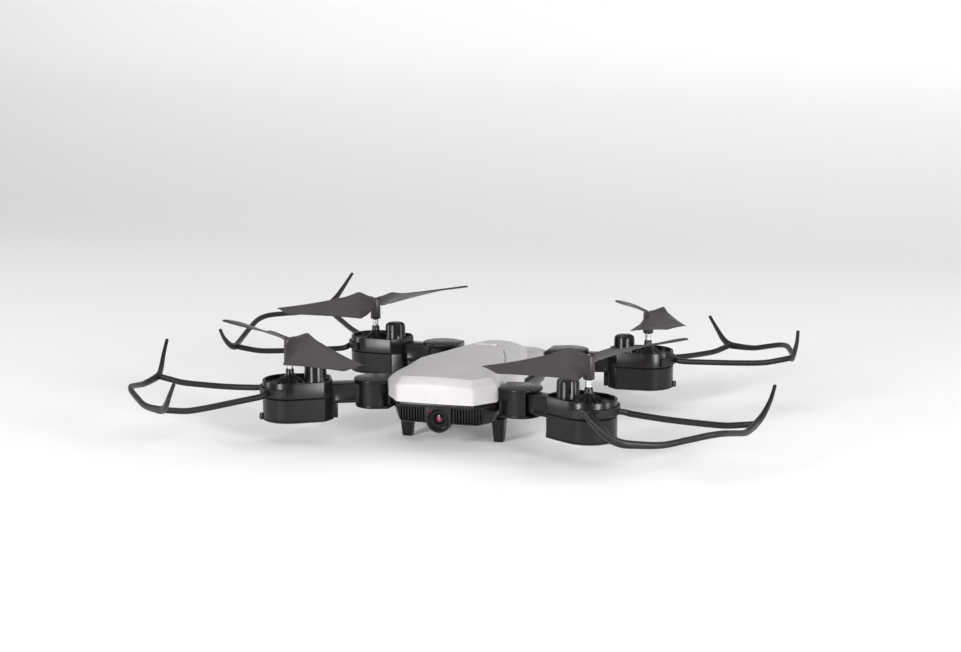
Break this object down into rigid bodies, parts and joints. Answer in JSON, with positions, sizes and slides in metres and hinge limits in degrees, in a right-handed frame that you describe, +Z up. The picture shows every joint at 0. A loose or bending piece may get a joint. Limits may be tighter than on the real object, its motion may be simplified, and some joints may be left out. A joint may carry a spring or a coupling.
{
  "type": "quadcopter drone",
  "caption": "Small quadcopter drone with folding arms, geared motor pods, two-blade rotors, clip-on propeller guards, a nose camera and stub legs",
  "frame": {"origin": "middle of the footprint box (propellers and guards included) on the surface that the legs stand on", "axes": "+Z up, -Y out of the nose and camera, +X to the right when looking at the nose from the front"},
  "size_m": [0.38, 0.3574, 0.0655],
  "materials": {
    "white_shell": "glossy white ABS moulding, very fine moulded grain, soft edges",
    "black_body": "black ABS moulding, satin with long soft highlights",
    "black_trim": "fine-textured matt black moulding",
    "blade": "thin satin dark grey-brown plastic blades",
    "guard": "satin black flexible plastic rods",
    "gear_nylon": "natural nylon gear",
    "brass": "turned brass",
    "steel": "turned bright steel",
    "lens_glass": "coated dark lens with a red glint",
    "led_red": "small clear red lamp",
    "circuit_board": "green solder-masked board with parts on it",
    "battery_case": "matt black battery case"
  },
  "bodies": {
    "body": {"upper_shell": "white_shell", "lower_shell": "black_body", "grille_left": "black_trim", "grille_right": "black_trim", "camera_housing": "black_body", "camera_lens_barrel": "black_trim", "camera_lens": "lens_glass", "status_led": "led_red", "flight_board": "circuit_board", "leg_front_left": "black_body", "leg_front_right": "black_body", "leg_rear_left": "black_body", "leg_rear_right": "black_body", "hinge_pin_front_left": "steel", "hinge_pin_front_right": "steel", "hinge_pin_rear_left": "steel", "hinge_pin_rear_right": "steel"},
    "power_button": {"power_button": "white_shell"},
    "battery": {"battery_pack": "battery_case"},
    "arm_front_left": {"arm_front_left": "black_body", "pod_cover_front_left": "black_body", "motor_front_left": "steel", "shaft_bearing_front_left": "steel"},
    "rotor_front_left": {"main_gear_front_left": "gear_nylon", "rotor_shaft_front_left": "steel", "propeller_front_left": "blade"},
    "pinion_front_left": {"pinion_front_left": "brass"},
    "guard_front_left": {"prop_guard_front_left": "guard"},
    "arm_front_right": {"arm_front_right": "black_body", "pod_cover_front_right": "black_body", "motor_front_right": "steel", "shaft_bearing_front_right": "steel"},
    "rotor_front_right": {"main_gear_front_right": "gear_nylon", "rotor_shaft_front_right": "steel", "propeller_front_right": "blade"},
    "pinion_front_right": {"pinion_front_right": "brass"},
    "guard_front_right": {"prop_guard_front_right": "guard"},
    "arm_rear_left": {"arm_rear_left": "black_body", "pod_cover_rear_left": "black_body", "motor_rear_left": "steel", "shaft_bearing_rear_left": "steel"},
    "rotor_rear_left": {"main_gear_rear_left": "gear_nylon", "rotor_shaft_rear_left": "steel", "propeller_rear_left": "blade"},
    "pinion_rear_left": {"pinion_rear_left": "brass"},
    "guard_rear_left": {"prop_guard_rear_left": "guard"},
    "arm_rear_right": {"arm_rear_right": "black_body", "pod_cover_rear_right": "black_body", "motor_rear_right": "steel", "shaft_bearing_rear_right": "steel"},
    "rotor_rear_right": {"main_gear_rear_right": "gear_nylon", "rotor_shaft_rear_right": "steel", "propeller_rear_right": "blade"},
    "pinion_rear_right": {"pinion_rear_right": "brass"},
    "guard_rear_right": {"prop_guard_rear_right": "guard"}
  },
  "joints": [
    {"name": "fold_front_left", "type": "hinge", "parent": "body", "child": "arm_front_left", "pos_m": [-0.04635, -0.05382, 0.0288], "axis": [0, 0, -1], "range_deg": [0, 48]},
    {"name": "spin_front_left", "type": "hinge", "parent": "arm_front_left", "child": "rotor_front_left", "pos_m": [-0.09148, -0.07534, 0.0475], "axis": [0, 0, 1], "continuous": true},
    {"name": "pinion_spin_front_left", "type": "hinge", "parent": "arm_front_left", "child": "pinion_front_left", "pos_m": [-0.07794, -0.06889, 0.0189], "axis": [0, 0, 1], "continuous": true},
    {"name": "fold_front_right", "type": "hinge", "parent": "body", "child": "arm_front_right", "pos_m": [0.04339, -0.05382, 0.0288], "axis": [0, 0, 1], "range_deg": [0, 48]},
    {"name": "spin_front_right", "type": "hinge", "parent": "arm_front_right", "child": "rotor_front_right", "pos_m": [0.08852, -0.07534, 0.0475], "axis": [0, 0, 1], "continuous": true},
    {"name": "pinion_spin_front_right", "type": "hinge", "parent": "arm_front_right", "child": "pinion_front_right", "pos_m": [0.07498, -0.06889, 0.0189], "axis": [0, 0, 1], "continuous": true},
    {"name": "fold_rear_left", "type": "hinge", "parent": "body", "child": "arm_rear_left", "pos_m": [-0.04421, 0.06715, 0.0288], "axis": [0, 0, -1], "range_deg": [-40, 0]},
    {"name": "spin_rear_left", "type": "hinge", "parent": "arm_rear_left", "child": "rotor_rear_left", "pos_m": [-0.09348, 0.07566, 0.0475], "axis": [0, 0, 1], "continuous": true},
    {"name": "pinion_spin_rear_left", "type": "hinge", "parent": "arm_rear_left", "child": "pinion_rear_left", "pos_m": [-0.0787, 0.0731, 0.0189], "axis": [0, 0, 1], "continuous": true},
    {"name": "fold_rear_right", "type": "hinge", "parent": "body", "child": "arm_rear_right", "pos_m": [0.04125, 0.06715, 0.0288], "axis": [0, 0, 1], "range_deg": [-40, 0]},
    {"name": "spin_rear_right", "type": "hinge", "parent": "arm_rear_right", "child": "rotor_rear_right", "pos_m": [0.09052, 0.07566, 0.0475], "axis": [0, 0, 1], "continuous": true},
    {"name": "pinion_spin_rear_right", "type": "hinge", "parent": "arm_rear_right", "child": "pinion_rear_right", "pos_m": [0.07574, 0.0731, 0.0189], "axis": [0, 0, 1], "continuous": true},
    {"name": "guard_release_front_left", "type": "slide", "parent": "arm_front_left", "child": "guard_front_left", "axis": [0.8838, 0.4679, 0], "range_m": [-0.04, 0]},
    {"name": "guard_release_front_right", "type": "slide", "parent": "arm_front_right", "child": "guard_front_right", "axis": [-0.8643, 0.503, 0], "range_m": [-0.04, 0]},
    {"name": "guard_release_rear_left", "type": "slide", "parent": "arm_rear_left", "child": "guard_rear_left", "axis": [-0.9781, 0.2079, 0], "range_m": [0, 0.04]},
    {"name": "guard_release_rear_right", "type": "slide", "parent": "arm_rear_right", "child": "guard_rear_right", "axis": [0.8712, 0.4909, 0], "range_m": [0, 0.04]},
    {"name": "power_button_press", "type": "slide", "parent": "body", "child": "power_button", "axis": [0, 0, -1], "range_m": [0, 0.0008], "stiffness_N_per_m": 400},
    {"name": "battery_release", "type": "slide", "parent": "body", "child": "battery", "axis": [0, 1, 0], "range_m": [0, 0.075]}
  ],
  "couplings": [
    {"joint": "pinion_spin_front_left", "follows": "spin_front_left", "ratio": -5.25},
    {"joint": "pinion_spin_front_right", "follows": "spin_front_right", "ratio": -5.25},
    {"joint": "pinion_spin_rear_left", "follows": "spin_rear_left", "ratio": -5.25},
    {"joint": "pinion_spin_rear_right", "follows": "spin_rear_right", "ratio": -5.25}
  ]
}
